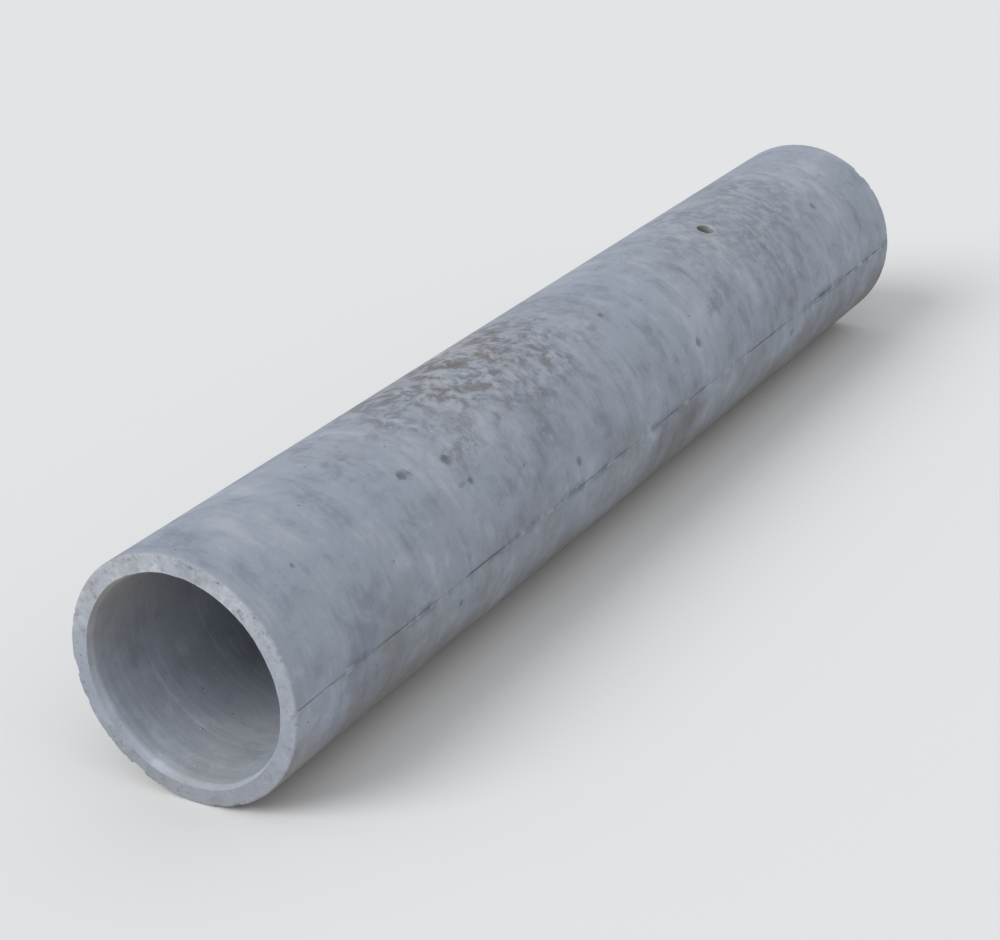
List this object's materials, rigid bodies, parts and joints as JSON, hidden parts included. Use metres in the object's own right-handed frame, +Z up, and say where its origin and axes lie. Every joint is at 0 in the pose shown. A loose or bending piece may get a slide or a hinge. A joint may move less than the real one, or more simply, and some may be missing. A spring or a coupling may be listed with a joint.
{
  "type": "concrete sewer pipe",
  "caption": "Plain-ended round concrete drain and sewer pipe, thin-walled, with lengthwise mould seams and a lifting hole, lying on its side.",
  "frame": {"origin": "on the ground, under the middle of the pipe as it lies on its side", "axes": "+Y along the pipe towards the end that the lifting hole is nearer to, +Z up, +X to the right as seen from the near mouth"},
  "size_m": [0.36, 2, 0.3598],
  "materials": {
    "concrete": "bare weathered grey concrete, smooth skin off a steel mould, rougher cut ends"
  },
  "bodies": {
    "root": {"pipe": "concrete"}
  },
  "joints": []
}
